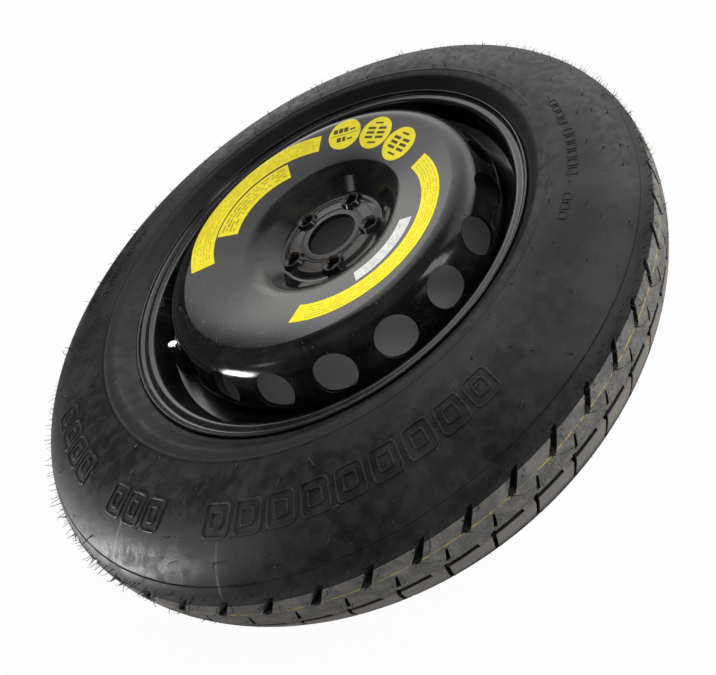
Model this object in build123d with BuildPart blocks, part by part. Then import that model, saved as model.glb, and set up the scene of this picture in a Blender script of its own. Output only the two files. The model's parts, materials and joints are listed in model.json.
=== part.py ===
from build123d import *
from math import asin, atan2, cos, degrees, radians, sin, sqrt, tan
import os

# Space saver spare wheel: a narrow temporary tyre on a pressed and welded steel wheel
# Millimetres, wheel axis along +Z, outboard face up, origin at the wheel centre

# Rim sizes, tyre side
rim_w = 114.3
seat_d = 491.2
seat_taper = 5.0
seat_w = 29.8
flange_h = 13.4
curl_r = 8.0
lip_l = 0.9
heel_r = 4.0
well_drop = 19.2
well_lean = 23.8
ledge_r = 5.0
well_r = 3.0
rim_t = 2.8

# Disc sizes, outboard side
disc_t = 4.2
hub_z = 41.5
bore_d = 66.6
foot_gap = 0.5
foot_r = 8.0
wall_run = 26.5
wall_rise = 23.9
brow_r = 40.0
crown_rise = 44.2
crown_r = 26.0
flank_run = 24.3
flank_drop = 43.0
skirt_r = 18.0
skirt_l = 40.7
skirt_fit = 0.05
weld_leg = 3.6
weld_r = 4.3
weld_count = 5
weld_span = 40.0

# Hub pad sizes
pad_d = 120.0
pad_slope = 6.0
pad_h = 2.2
bore_land = 7.7
ring_w = 2.5
ring_depth = 0.7
pocket_in = 0.6
pocket_edge = 1.5
pocket_span = 30.0
pocket_depth = 0.9

# Bolt and vent sizes
bolt_count = 5
bolt_pcd = 112.0
bolt_angle = 31.4
bolt_hole_d = 14.6
boss_d = 31.0
boss_top_d = 23.6
boss_h = 6.6
ball_r = 14.0
ball_d = 22.0
vent_count = 20
vent_angle = 13.4
vent_d = 42.6
vent_drop = 34.5

# Tyre sizes
tyre_d = 782.0
tyre_w = 169.2
tread_w = 101.0
crown_drop = 10.5
tread_t = 13.5
shoulder_w = 66.6
side_rise = 45.7
side_t = 7.0
ridge_rise = 16.0
ridge_in = 5.6
gap_rise = 3.0
bead_fit = 0.2
bead_wrap = 45.0
toe_w = 20.5
toe_rise = 3.0
toe_r = 1.5
bead_h = 28.5
bead_in = 4.9
liner_w = 50.0
groove_z = 12.75
far_groove_z = 21.75
groove_w = 7.5
groove_depth = 8.0

# Tread pattern sizes, one pitch of it
pitch_count = 59
pitch_angle = -79.2
far_pitch_angle = -80.4
slot_w = 5.5
slot_lean = 12.8
slot_l = 18.2
slot_over = 5.5
slot_below = 2.5
notch_angle = -79.5
notch_w = 3.6
notch_lean = 10.4
notch_over = 5.2
notch_depth = 6.5

# Bead wire sizes
core_w = 7.0
core_h = 6.0
core_in = 9.6
core_rise = 6.3
core_r = 1.0
core_fit = 0.1

# Label sizes, each outer edge measured inward from the crown of the disc
label_t = 0.2
label_lift = 0.08
outer_label_x = -16.4
outer_label_y = 44.7
outer_label_edge = 53.1
outer_label_h = 27.9
outer_label_from = 47.0
outer_label_to = 172.0
inner_label_x = -18.3
inner_label_y = 44.4
inner_label_edge = 84.1
inner_label_h = 27.2
inner_label_from = 71.0
inner_label_to = 147.5
right_label_x = 11.2
right_label_y = -30.5
right_label_edge = 60.9
right_label_h = 23.8
right_label_from = -138.0
right_label_to = -3.8
strip_x = 8.0
strip_y = -30.0
strip_edge = 89.6
strip_h = 17.0
strip_from = -101.0
strip_to = -50.0
roundel_d = 52.0
roundel_1_in = 38.7
roundel_1_angle = 48.1
roundel_2_in = 45.0
roundel_2_angle = 28.0
roundel_3_in = 55.9
roundel_3_angle = 7.1

# Valve sizes, heights measured along the valve from the outer face of the rim
valve_angle = 178.4
valve_in = 9.75
valve_hole_d = 11.3
stem_fit = 0.05
head_d = 18.0
head_h = 5.5
head_chamfer = 1.5
collar_d = 13.6
collar_h = 4.0
stem_h = 22.0
stem_top_d = 9.8
stem_bore_d = 3.6
tube_foot = 2.0
tube_d = 5.8
tube_top_d = 7.7
tube_h = 33.0
tube_bore_d = 4.3
chamber_d = 4.9
chamber_foot = 20.0
barrel_foot = 15.0
barrel_d = 3.0
body_foot = 27.0
body_top = 32.0
body_bore_d = 2.4
guide_t = 2.0
pin_d = 1.2
pin_fit = 0.06
pin_foot = 11.5
pin_top = 32.6
cup_d = 2.7
cup_h = 1.0
pin_seal_h = 1.0
pin_collar_d = 2.2
pin_collar_h = 0.8
pin_collar_z = 25.5
core_seal_z = 22.0
core_seal_h = 2.5
spring_wire = 0.3
spring_d = 1.7
spring_turns = 5.0
cap_d = 11.2
cap_gap = 0.4
cap_top = 35.5
cap_fit = 0.05
cap_round = 1.0
cap_seal_h = 0.9

# Rim path, from the outboard lip over the tyre side to the inboard lip
seat_r = seat_d / 2
flange_z = rim_w / 2
flange_r = seat_r + flange_h
lip_z = flange_z + curl_r + lip_l
ledge = (seat_r - seat_w * tan(radians(seat_taper)), flange_z - seat_w)
well = (ledge[0] - well_drop, ledge[1] - well_drop * tan(radians(well_lean)))
rim_half = [
    (flange_r, lip_z),
    (flange_r, flange_z),
    (seat_r, flange_z),
    ledge,
    well,
]
half_bends = [curl_r, heel_r, ledge_r, well_r]
rim_path = rim_half + [(r, -z) for r, z in reversed(rim_half)]
rim_bends = half_bends + half_bends[::-1]

# Disc path, from the bore over the outboard side to the end of the skirt
bore_r = bore_d / 2
hub_foot_r = bolt_pcd / 2 + boss_d / 2 + foot_gap
skirt_face_r = well[0] - rim_t - skirt_fit
brow = (hub_foot_r + wall_run, hub_z + wall_rise)
crown = (skirt_face_r - flank_run, hub_z + crown_rise)
skirt_top_z = crown[1] - flank_drop
skirt_end_z = skirt_top_z - skirt_l
disc_path = [
    (bore_r, hub_z),
    (hub_foot_r, hub_z),
    brow,
    crown,
    (skirt_face_r, skirt_top_z),
    (skirt_face_r, skirt_end_z),
]
disc_bends = [foot_r, brow_r, crown_r, skirt_r]
pad_z = hub_z + pad_h
mount_z = hub_z - disc_t

# Vent axis, square to the flank of the disc
flank_a = atan2(flank_run, flank_drop)
vent_r = crown[0] + vent_drop * sin(flank_a)
vent_z = crown[1] - vent_drop * cos(flank_a)
vent_plane = Plane(
    origin=(vent_r, 0, vent_z), x_dir=(0, 1, 0), z_dir=(cos(flank_a), 0, sin(flank_a))
)

# Valve axis, square to the well wall of the rim
lean = radians(well_lean)
valve_r = ledge[0] - rim_t * sin(lean) - valve_in * cos(lean)
valve_z = ledge[1] + rim_t * cos(lean) - valve_in * sin(lean)
spin = radians(valve_angle)
valve_foot = Vector(valve_r * cos(spin), valve_r * sin(spin), valve_z)
valve_side = Vector(-sin(spin), cos(spin), 0)
valve_up = Vector(-sin(lean) * cos(spin), -sin(lean) * sin(spin), cos(lean))
valve_plane = Plane(
    origin=valve_foot, x_dir=valve_side, z_dir=valve_side.cross(valve_up)
)
valve_across = Plane(origin=valve_foot, x_dir=valve_side, z_dir=valve_up)
valve_axis = Axis(valve_foot, valve_up)

os.makedirs("parts", exist_ok=True)

# Rim, one sheet bent along its path, pierced for the valve
with BuildPart() as rim:
    with BuildSketch(Plane.XZ):
        with BuildLine():
            FilletPolyline(*rim_path, radius=rim_bends)
            offset(amount=rim_t, side=Side.RIGHT)
        make_face()
    revolve(axis=Axis.Z)
    with BuildSketch(valve_across):
        Circle(valve_hole_d / 2)
    extrude(amount=rim_t * 2, both=True, mode=Mode.SUBTRACT)
rim.part.label = "rim"
export_step(rim.part, "parts/rim.step")

# Bolt boss and the hole with its ball seat, turned about one bolt axis
bolt_plane = Plane(origin=(bolt_pcd / 2, 0, 0), x_dir=(1, 0, 0), z_dir=(0, -1, 0))
bolt_axis = Axis((bolt_pcd / 2, 0, 0), (0, 0, 1))
boss_z = hub_z + boss_h
boss_flare = (boss_d - boss_top_d) / (2 * boss_h) * disc_t / 2
ball_z = boss_z + sqrt(ball_r**2 - (ball_d / 2) ** 2)
seat_z = ball_z - sqrt(ball_r**2 - (bolt_hole_d / 2) ** 2)
with BuildPart() as boss:
    with BuildSketch(bolt_plane):
        with BuildLine():
            Polyline(
                (0, hub_z - disc_t / 2),
                (boss_d / 2 + boss_flare, hub_z - disc_t / 2),
                (boss_top_d / 2, boss_z),
                (0, boss_z),
                close=True,
            )
        make_face()
    revolve(axis=bolt_axis)
with BuildPart() as bolt_hole:
    with BuildSketch(bolt_plane):
        with BuildLine():
            Polyline(
                (ball_d / 2, boss_z),
                (ball_d / 2, boss_z + boss_h),
                (0, boss_z + boss_h),
                (0, mount_z - disc_t),
                (bolt_hole_d / 2, mount_z - disc_t),
                (bolt_hole_d / 2, seat_z),
            )
            RadiusArc((bolt_hole_d / 2, seat_z), (ball_d / 2, boss_z), ball_r)
        make_face()
    revolve(axis=bolt_axis)

# Vent, one round hole through the flank
with BuildPart() as vent:
    with BuildSketch(vent_plane):
        Circle(vent_d / 2)
    extrude(amount=vent_d / 2, both=True)

# Disc, pressed from sheet, with the hub pad, bosses, bolt holes and vents
pad_r = pad_d / 2
ring_in = bore_r + bore_land
pocket_in_r = ring_in + ring_w + pocket_in
pocket_out_r = pad_r - pocket_edge
with BuildPart() as disc:
    with BuildSketch(Plane.XZ):
        with BuildLine():
            FilletPolyline(*disc_path, radius=disc_bends)
            offset(amount=disc_t, side=Side.RIGHT)
        make_face()
        with BuildLine():
            Polyline(
                (bore_r, hub_z - disc_t / 2),
                (pad_r + pad_slope, hub_z - disc_t / 2),
                (pad_r + pad_slope, hub_z),
                (pad_r, pad_z),
                (bore_r, pad_z),
                close=True,
            )
        make_face()
    revolve(axis=Axis.Z)
    with BuildSketch(Plane.XY.offset(pad_z)):
        Circle(ring_in + ring_w)
        Circle(ring_in, mode=Mode.SUBTRACT)
    extrude(amount=-ring_depth, mode=Mode.SUBTRACT)
    with BuildSketch(Plane.XY.offset(pad_z)) as pockets:
        with PolarLocations(0, bolt_count, bolt_angle + 180 / bolt_count):
            SlotArc(
                CenterArc(
                    (0, 0),
                    (pocket_in_r + pocket_out_r) / 2,
                    -pocket_span / 2,
                    pocket_span,
                    mode=Mode.PRIVATE,
                ),
                pocket_out_r - pocket_in_r,
            )
    extrude(amount=-pocket_depth, mode=Mode.SUBTRACT)
    with PolarLocations(0, bolt_count, bolt_angle):
        add(boss.part)
    with PolarLocations(0, bolt_count, bolt_angle):
        add(bolt_hole.part, mode=Mode.SUBTRACT)
    with PolarLocations(0, vent_count, vent_angle):
        add(vent.part, mode=Mode.SUBTRACT)
disc.part.label = "disc"
export_step(disc.part, "parts/disc.step")

# Weld beads, in the corner between the end of the skirt and the well of the rim
with BuildPart() as weld:
    with BuildSketch(Plane.XZ):
        with BuildLine():
            Polyline(
                (skirt_face_r - weld_leg, skirt_end_z),
                (skirt_face_r, skirt_end_z),
                (skirt_face_r, skirt_end_z - weld_leg),
            )
            RadiusArc(
                (skirt_face_r - weld_leg, skirt_end_z),
                (skirt_face_r, skirt_end_z - weld_leg),
                -weld_r,
            )
        make_face()
    revolve(axis=Axis.Z, revolution_arc=weld_span)
with BuildPart() as welds:
    with PolarLocations(0, weld_count):
        add(weld.part)
welds.part.label = "welds"
export_step(welds.part, "parts/welds.step")

# Bead wire rings, inside the two beads of the tyre
core_mid_r = seat_r + core_rise
core_mid_z = flange_z - core_in
with BuildPart() as bead_wire_out:
    with BuildSketch(Plane.XZ):
        with Locations((core_mid_r, core_mid_z)):
            RectangleRounded(core_h, core_w, core_r)
    revolve(axis=Axis.Z)
with BuildPart() as bead_wire_in:
    with BuildSketch(Plane.XZ):
        with Locations((core_mid_r, -core_mid_z)):
            RectangleRounded(core_h, core_w, core_r)
    revolve(axis=Axis.Z)
bead_wire_out.part.label = "bead_wire_out"
bead_wire_in.part.label = "bead_wire_in"
export_step(bead_wire_out.part, "parts/bead_wire_out.step")
export_step(bead_wire_in.part, "parts/bead_wire_in.step")

# Tyre, half section drawn from the inside of the crown round the bead to the tread, then mirrored
tyre_r = tyre_d / 2
half_w = tyre_w / 2
side_r = flange_r + side_rise
edge_r = tyre_r - crown_drop
edge_z = tread_w / 2
shoulder_z = shoulder_w / 2
shoulder_a = asin((edge_z - shoulder_z) / (half_w - shoulder_z))
liner_r = tyre_r - tread_t
liner_z = liner_w / 2
curl_c = (flange_r - curl_r, flange_z + curl_r)
toe_z = flange_z - toe_w
toe_seat_r = seat_r - toe_w * tan(radians(seat_taper)) + bead_fit
bead_top = (seat_r + bead_h, flange_z + bead_in)
ridge = (flange_r + ridge_rise, half_w - ridge_in)
tread_plane = Plane(origin=(tyre_r, 0, 0), x_dir=(0, 1, 0), z_dir=(1, 0, 0))
slot_end_z = edge_z + slot_over


# Tread cut that leans along the tread, from a plane that touches the crown
def tread_cut(width, lean, low, high, depth):
    with BuildPart() as cut:
        with BuildSketch(tread_plane):
            with BuildLine():
                Polyline((0, high), (-width, high), (-width - lean, low), (-lean, low), close=True)
            make_face()
        extrude(amount=-depth)
    return cut.part


slot = tread_cut(slot_w, slot_lean, slot_end_z - slot_l, slot_end_z, crown_drop + slot_below)
notch = tread_cut(notch_w, notch_lean, -far_groove_z, groove_z + notch_over, notch_depth)
with BuildPart() as tyre:
    with BuildSketch(Plane.XZ):
        with BuildLine():
            Line((tyre_r, 0), (liner_r, 0))
            Line((liner_r, 0), (liner_r, liner_z))
            EllipticalCenterArc(
                (side_r, liner_z),
                liner_r - side_r,
                half_w - side_t - liner_z,
                start_angle=0,
                arc_size=90,
            )
            TangentArc((side_r, half_w - side_t), bead_top, tangent=(-1, 0))
            FilletPolyline(
                bead_top,
                (toe_seat_r + toe_rise, toe_z),
                (toe_seat_r, toe_z),
                (seat_r + bead_fit, flange_z - bead_fit),
                (curl_c[0], flange_z - bead_fit),
                radius=[0, toe_r, heel_r],
            )
            contact = CenterArc(curl_c, curl_r + bead_fit, -90, bead_wrap)
            Line(contact @ 1, (flange_r + gap_rise, lip_z))
            side = TangentArc((side_r, half_w), ridge, tangent=(-1, 0))
            TangentArc(ridge, (flange_r + gap_rise, lip_z), tangent=side % 1)
            EllipticalCenterArc(
                (side_r, shoulder_z),
                (edge_r - side_r) / cos(shoulder_a),
                half_w - shoulder_z,
                start_angle=degrees(shoulder_a),
                arc_size=90 - degrees(shoulder_a),
            )
            TangentArc((tyre_r, 0), (edge_r, edge_z), tangent=(0, 1))
        make_face()
        mirror(about=Plane.XZ)
    revolve(axis=Axis.Z)
    with BuildSketch(Plane.XZ):
        with Locations((tyre_r, groove_z), (tyre_r, -far_groove_z)):
            Rectangle(groove_depth * 2, groove_w)
        with Locations((core_mid_r, core_mid_z), (core_mid_r, -core_mid_z)):
            RectangleRounded(core_h + 2 * core_fit, core_w + 2 * core_fit, core_r)
    revolve(axis=Axis.Z, mode=Mode.SUBTRACT)
    with PolarLocations(0, pitch_count, pitch_angle):
        add(slot, mode=Mode.SUBTRACT)
    with PolarLocations(0, pitch_count, far_pitch_angle):
        add(slot.rotate(Axis.X, 180), mode=Mode.SUBTRACT)
    with PolarLocations(0, pitch_count, notch_angle):
        add(notch, mode=Mode.SUBTRACT)
tyre.part.label = "tyre"
export_step(tyre.part, "parts/tyre.step")


# Label cut from a thin skin that lies on the disc face
def label(outline):
    with BuildPart() as skin:
        with BuildSketch(Plane.XZ):
            with BuildLine():
                FilletPolyline(*disc_path[1:5], radius=disc_bends[1:3])
                offset(amount=label_lift + label_t, side=Side.LEFT)
            make_face()
            with BuildLine():
                FilletPolyline(*disc_path[1:5], radius=disc_bends[1:3])
                offset(amount=label_lift, side=Side.LEFT)
            make_face(mode=Mode.SUBTRACT)
        revolve(axis=Axis.Z)
        add(outline)
        extrude(amount=crown[1] * 2, mode=Mode.INTERSECT)
    return skin.part


# Outline of a label that follows an arc about its own centre
def band(x, y, edge, height, start, end):
    high_r = crown[0] - edge
    with BuildSketch() as flat:
        with BuildLine():
            low = CenterArc((x, y), high_r - height, start, end - start)
            high = CenterArc((x, y), high_r, start, end - start)
            Line(low @ 0, high @ 0)
            Line(low @ 1, high @ 1)
        make_face()
    return flat.sketch


# Outline of a round label
def roundel(inset, angle):
    with BuildSketch() as flat:
        with PolarLocations(crown[0] - inset, 1, angle):
            Circle(roundel_d / 2)
    return flat.sketch


labels = {
    "label_outer": band(
        outer_label_x,
        outer_label_y,
        outer_label_edge,
        outer_label_h,
        outer_label_from,
        outer_label_to,
    ),
    "label_inner": band(
        inner_label_x,
        inner_label_y,
        inner_label_edge,
        inner_label_h,
        inner_label_from,
        inner_label_to,
    ),
    "label_right": band(
        right_label_x,
        right_label_y,
        right_label_edge,
        right_label_h,
        right_label_from,
        right_label_to,
    ),
    "label_strip": band(strip_x, strip_y, strip_edge, strip_h, strip_from, strip_to),
    "roundel_1": roundel(roundel_1_in, roundel_1_angle),
    "roundel_2": roundel(roundel_2_in, roundel_2_angle),
    "roundel_3": roundel(roundel_3_in, roundel_3_angle),
}
for label_name, label_outline in labels.items():
    label_part = label(label_outline)
    label_part.label = label_name
    export_step(label_part, f"parts/{label_name}.step")


# Valve piece turned about the valve axis from its half section
def turned(points):
    with BuildPart() as piece:
        with BuildSketch(valve_plane):
            with BuildLine():
                Polyline(*points, close=True)
            make_face()
        revolve(axis=valve_axis)
    return piece.part


# Valve stem, rubber, snapped into the hole of the rim
neck_r = valve_hole_d / 2 - stem_fit
head_z = -rim_t - head_h
valve_stem = turned(
    [
        (stem_bore_d / 2, head_z),
        (head_d / 2 - head_chamfer, head_z),
        (head_d / 2, head_z + head_chamfer),
        (head_d / 2, -rim_t - stem_fit),
        (neck_r, -rim_t - stem_fit),
        (neck_r, stem_fit),
        (collar_d / 2, stem_fit),
        (collar_d / 2, collar_h),
        (stem_top_d / 2, stem_h),
        (tube_d / 2, stem_h),
        (tube_d / 2, tube_foot),
        (stem_bore_d / 2, tube_foot),
    ]
)
valve_stem.label = "valve_stem"
export_step(valve_stem, "parts/valve_stem.step")

# Valve tube, brass, bonded into the stem and threaded for the cap
valve_tube = turned(
    [
        (stem_bore_d / 2, tube_foot),
        (tube_d / 2, tube_foot),
        (tube_d / 2, stem_h),
        (tube_top_d / 2, stem_h),
        (tube_top_d / 2, tube_h),
        (chamber_d / 2, tube_h),
        (chamber_d / 2, chamber_foot),
        (tube_bore_d / 2, chamber_foot),
        (tube_bore_d / 2, barrel_foot),
        (stem_bore_d / 2, barrel_foot),
    ]
)
valve_tube.label = "valve_tube"
export_step(valve_tube, "parts/valve_tube.step")

# Valve core body, screwed into the tube, with a guide at each end for the pin
guide_r = pin_d / 2 + pin_fit
core_body = turned(
    [
        (guide_r, barrel_foot),
        (barrel_d / 2, barrel_foot),
        (barrel_d / 2, body_foot),
        (chamber_d / 2, body_foot),
        (chamber_d / 2, body_top),
        (guide_r, body_top),
        (guide_r, body_top - guide_t),
        (body_bore_d / 2, body_top - guide_t),
        (body_bore_d / 2, barrel_foot + guide_t),
        (guide_r, barrel_foot + guide_t),
    ]
)
core_body.label = "core_body"
export_step(core_body, "parts/core_body.step")

# Core seal, a sleeve between the core barrel and the chamber of the tube
core_seal = turned(
    [
        (barrel_d / 2, core_seal_z),
        (chamber_d / 2, core_seal_z),
        (chamber_d / 2, core_seal_z + core_seal_h),
        (barrel_d / 2, core_seal_z + core_seal_h),
    ]
)
core_seal.label = "core_seal"
export_step(core_seal, "parts/core_seal.step")

# Core pin with its cup at the foot and the collar the spring presses on
cup_z = barrel_foot - pin_seal_h
core_pin = turned(
    [
        (0, pin_foot),
        (pin_d / 2, pin_foot),
        (pin_d / 2, cup_z - cup_h),
        (cup_d / 2, cup_z - cup_h),
        (cup_d / 2, cup_z),
        (pin_d / 2, cup_z),
        (pin_d / 2, pin_collar_z),
        (pin_collar_d / 2, pin_collar_z),
        (pin_collar_d / 2, pin_collar_z + pin_collar_h),
        (pin_d / 2, pin_collar_z + pin_collar_h),
        (pin_d / 2, pin_top),
        (0, pin_top),
    ]
)
core_pin.label = "core_pin"
export_step(core_pin, "parts/core_pin.step")

# Pin seal, a washer in the cup that closes the foot of the core
pin_seal = turned(
    [
        (pin_d / 2, cup_z),
        (cup_d / 2, cup_z),
        (cup_d / 2, barrel_foot),
        (pin_d / 2, barrel_foot),
    ]
)
pin_seal.label = "pin_seal"
export_step(pin_seal, "parts/pin_seal.step")

# Core spring, wound round the pin between the lower guide and the collar
spring_foot = barrel_foot + guide_t + spring_wire / 2
spring_l = pin_collar_z - spring_foot - spring_wire / 2
with BuildPart() as core_spring:
    with BuildLine():
        coil = Helix(
            spring_l / spring_turns,
            spring_l,
            spring_d / 2,
            center=valve_foot + valve_up * spring_foot,
            direction=valve_up,
        )
    with BuildSketch(Plane(origin=coil @ 0, z_dir=coil % 0)):
        RegularPolygon(spring_wire / 2, 6)
    sweep()
core_spring.part.label = "core_spring"
export_step(core_spring.part, "parts/core_spring.step")

# Cap, screwed over the top of the tube
cap_foot = stem_h + cap_gap
cap_bore_r = tube_top_d / 2 + cap_fit
cap = turned(
    [
        (cap_bore_r, cap_foot),
        (cap_d / 2, cap_foot),
        (cap_d / 2, cap_top - cap_round),
        (cap_d / 2 - cap_round, cap_top),
        (0, cap_top),
        (0, tube_h + cap_seal_h),
        (cap_bore_r, tube_h + cap_seal_h),
    ]
)
cap.label = "cap"
export_step(cap, "parts/cap.step")

# Cap seal, a disc between the top of the tube and the cap
cap_seal = turned(
    [
        (0, tube_h),
        (tube_top_d / 2, tube_h),
        (tube_top_d / 2, tube_h + cap_seal_h),
        (0, tube_h + cap_seal_h),
    ]
)
cap_seal.label = "cap_seal"
export_step(cap_seal, "parts/cap_seal.step")
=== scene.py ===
# %% [markdown]
# # A space saver spare wheel
# A narrow temporary tyre on a black pressed-steel wheel lies on a pale floor, outboard face up.
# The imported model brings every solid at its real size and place. This script gives each one its
# finish and models what is too fine for the solids: the tread, the moulded marks, the mould hairs.

# %% Load the frame
import json
import random
from math import asin, atan2, ceil, copysign, cos, degrees, pi, radians, sin, sqrt, tan
import bpy
from mathutils import Matrix, Vector


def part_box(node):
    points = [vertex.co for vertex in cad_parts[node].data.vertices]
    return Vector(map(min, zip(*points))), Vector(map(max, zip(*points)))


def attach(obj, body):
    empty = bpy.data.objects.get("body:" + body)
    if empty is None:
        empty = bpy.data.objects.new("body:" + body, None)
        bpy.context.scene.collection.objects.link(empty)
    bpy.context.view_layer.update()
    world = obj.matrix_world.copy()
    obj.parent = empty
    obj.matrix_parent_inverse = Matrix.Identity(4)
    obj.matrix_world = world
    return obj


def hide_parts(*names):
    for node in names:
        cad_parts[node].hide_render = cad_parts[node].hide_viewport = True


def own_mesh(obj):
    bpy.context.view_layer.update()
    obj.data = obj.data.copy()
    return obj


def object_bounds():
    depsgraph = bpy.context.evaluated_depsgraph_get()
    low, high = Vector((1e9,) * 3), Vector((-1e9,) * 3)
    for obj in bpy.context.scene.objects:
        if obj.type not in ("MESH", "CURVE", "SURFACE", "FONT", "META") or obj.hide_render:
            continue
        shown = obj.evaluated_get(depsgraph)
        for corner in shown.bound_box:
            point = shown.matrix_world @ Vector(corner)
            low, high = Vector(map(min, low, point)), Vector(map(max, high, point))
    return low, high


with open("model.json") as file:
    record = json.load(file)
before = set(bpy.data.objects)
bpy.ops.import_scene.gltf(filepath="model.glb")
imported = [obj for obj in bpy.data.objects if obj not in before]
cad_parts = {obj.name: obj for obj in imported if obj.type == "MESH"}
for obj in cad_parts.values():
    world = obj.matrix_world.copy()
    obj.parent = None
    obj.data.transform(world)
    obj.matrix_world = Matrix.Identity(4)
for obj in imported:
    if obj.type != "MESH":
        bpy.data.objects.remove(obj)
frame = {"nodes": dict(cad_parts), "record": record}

MM = 0.001
nodes = frame["nodes"]
cad_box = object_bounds()
random.seed(7)
print("nodes loaded:", len(nodes), "box:", [tuple(round(v, 4) for v in c) for c in cad_box])

# %% [markdown]
# ## Camera
# The picture was taken from close by with a wide lens, and cropped, so the lens axis does not go
# through the middle of the frame. The camera therefore gets a shift as well as a place and a turn.
# Its three directions are written as vectors, which become the columns of its matrix.

# %% Place the camera
camera_place = Vector((0.0, -509.34, 392.30)) * MM
camera_right = Vector((0.738526, -0.582328, -0.339812))
camera_up = Vector((0.649931, 0.480810, 0.588567))
picture_w, picture_h = 716, 675
focal_px = 468.695
axis_px = (472.721, 265.278)
sensor_mm = 36

bpy.ops.object.camera_add()
camera = bpy.context.object
camera_back = camera_right.cross(camera_up)
turn = Matrix((camera_right, camera_up, camera_back)).transposed()
camera.matrix_world = Matrix.Translation(camera_place) @ turn.to_4x4()
camera.data.sensor_width = sensor_mm
camera.data.lens = sensor_mm * focal_px / picture_w
camera.data.shift_x = (picture_w / 2 - axis_px[0]) / picture_w
camera.data.shift_y = (axis_px[1] - picture_h / 2) / picture_w
camera.data.clip_start = 0.01
bpy.context.scene.camera = camera
bpy.context.scene.view_settings.view_transform = "Standard"
print("lens", round(camera.data.lens, 2), "mm, shift", camera.data.shift_x, camera.data.shift_y)

# %% [markdown]
# ## Node helpers
# Materials and the surroundings are built from nodes. Small helpers keep that readable: one adds a
# node and plugs its inputs, whether they are numbers or other sockets, the others name the few sums
# that come up again and again, such as a smooth step or a band between two values. A socket knows
# which node tree it belongs to, so a sum needs no telling where its node goes.


# %% Node helpers
def plug(socket, value):
    """Link a socket to another one, or set it to a plain value."""
    if isinstance(value, bpy.types.NodeSocket):
        socket.id_data.links.new(value, socket)
    else:
        socket.default_value = value


def home(*values):
    """The node tree of the first socket among some values."""
    return next(v.id_data for v in values if isinstance(v, bpy.types.NodeSocket))


def add_node(tree, kind, inputs=None, **settings):
    """Add a node, by its type's name after ShaderNode, with its settings and its inputs."""
    node = tree.nodes.new("ShaderNode" + kind)
    for key, value in settings.items():
        setattr(node, key, value)
    for key, value in (inputs or {}).items():
        plug(node.inputs[key], value)
    return node


def maths(operation, *values, clamp=False):
    sums = dict(enumerate(values))
    node = add_node(home(*values), "Math", sums, operation=operation, use_clamp=clamp)
    return node.outputs[0]


def vectors(operation, *values):
    sums = dict(enumerate(values))
    return add_node(home(*values), "VectorMath", sums, operation=operation).outputs


def split(vector):
    return add_node(home(vector), "SeparateXYZ", {0: vector}).outputs


print("node helpers ready")


# %% Sums and masks
def plus(first, second):
    return maths("ADD", first, second)


def minus(first, second, clamp=False):
    return maths("SUBTRACT", first, second, clamp=clamp)


def most(first, second):
    return maths("MAXIMUM", first, second)


def times(*values):
    """The product of several masks."""
    product = values[0]
    for value in values[1:]:
        product = maths("MULTIPLY", product, value)
    return product


def distance(x, y):
    return maths("SQRT", plus(times(x, x), times(y, y)))


def step_up(value, low, high):
    """0 at low, 1 at high, and a smooth rise between them; low may be the larger of the two."""
    ranges = {"Value": value, "From Min": low, "From Max": high}
    node = add_node(home(value), "MapRange", ranges, interpolation_type="SMOOTHSTEP")
    return node.outputs["Result"]


def between(value, low, high, soft):
    """1 from low to high, fading to 0 within soft on either side."""
    rise = step_up(value, low - soft, low + soft)
    fall = step_up(value, high - soft, high + soft)
    return minus(rise, fall, clamp=True)


def blend(amount, first, second):
    """Colour that goes from first to second as amount goes from 0 to 1."""
    node = add_node(home(amount), "Mix", data_type="RGBA")
    for name, value in (("Factor_Float", amount), ("A_Color", first), ("B_Color", second)):
        plug(next(s for s in node.inputs if s.identifier == name), value)
    return next(s for s in node.outputs if s.identifier == "Result_Color")


print("sums and masks ready")

# %% [markdown]
# ## Studio light
# The glossy disc mirrors its surroundings, so their shape matters more than any single lamp. A wide
# pale wall behind the wheel is drawn on the world by direction, as soft-edged panels over a dim grey
# room. A tall strip on the right and a small window low on the left are close to the wheel, so they
# are area lamps at a real place: seen from the tyre they stand elsewhere than seen from the disc.
# The window is kept to a beam, so that it shows in the paint without glaring on the tyre.

# %% Build the world
world = bpy.data.worlds.new("studio")
bpy.context.scene.world = world
world.use_nodes = True
sky = world.node_tree
sky.nodes.clear()
room_grey = 0.12
daylight = (1.0, 0.99, 0.975, 1)
# Each panel: middle azimuth, half width, soft edge, low and high elevation, soft edge, strength
panels = {
    "wall_left": (60, 34.5, 2, 11, 36, 11, 2.6),
    "wall_right": (-1, 26.5, 2, 11, 36, 11, 2.6),
    "top_left": (60, 34.5, 2, 36, 56, 8, 1.8),
    "top_right": (-1, 26.5, 2, 36, 56, 8, 1.8),
    "lamp": (10, 18, 12, 8, 34, 8, 1.5),
    "corner": (86, 8.5, 2, 10, 28, 6, 1.0),
    "strip_foot": (-58, 16, 6, 5, 22, 6, 1.8),
    "glint": (168, 5, 2, 37, 44, 3, 4.0),
    "ceiling": (0, 360, 1, 62, 95, 8, 0.36),
}
direction = add_node(sky, "TexCoord").outputs["Generated"]
elevation = times(maths("ARCSINE", split(direction)["Z"]), 180 / pi)
level = vectors("NORMALIZE", vectors("MULTIPLY", direction, (1, 1, 0))[0])[0]
total = room_grey
for middle, half, soft, low, high, soft_up, strength in panels.values():
    aim = (cos(radians(middle)), sin(radians(middle)), 0)
    away = times(maths("ARCCOSINE", vectors("DOT_PRODUCT", level, aim)["Value"]), 180 / pi)
    across = step_up(away, half + soft, half - soft) if half < 180 else 1.0
    upward = between(elevation, low, high, soft_up)
    total = plus(total, times(across, upward, strength))
background = add_node(sky, "Background", {"Color": daylight, "Strength": total})
add_node(sky, "OutputWorld", {"Surface": background.outputs[0]})
print("world panels:", ", ".join(panels))


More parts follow.
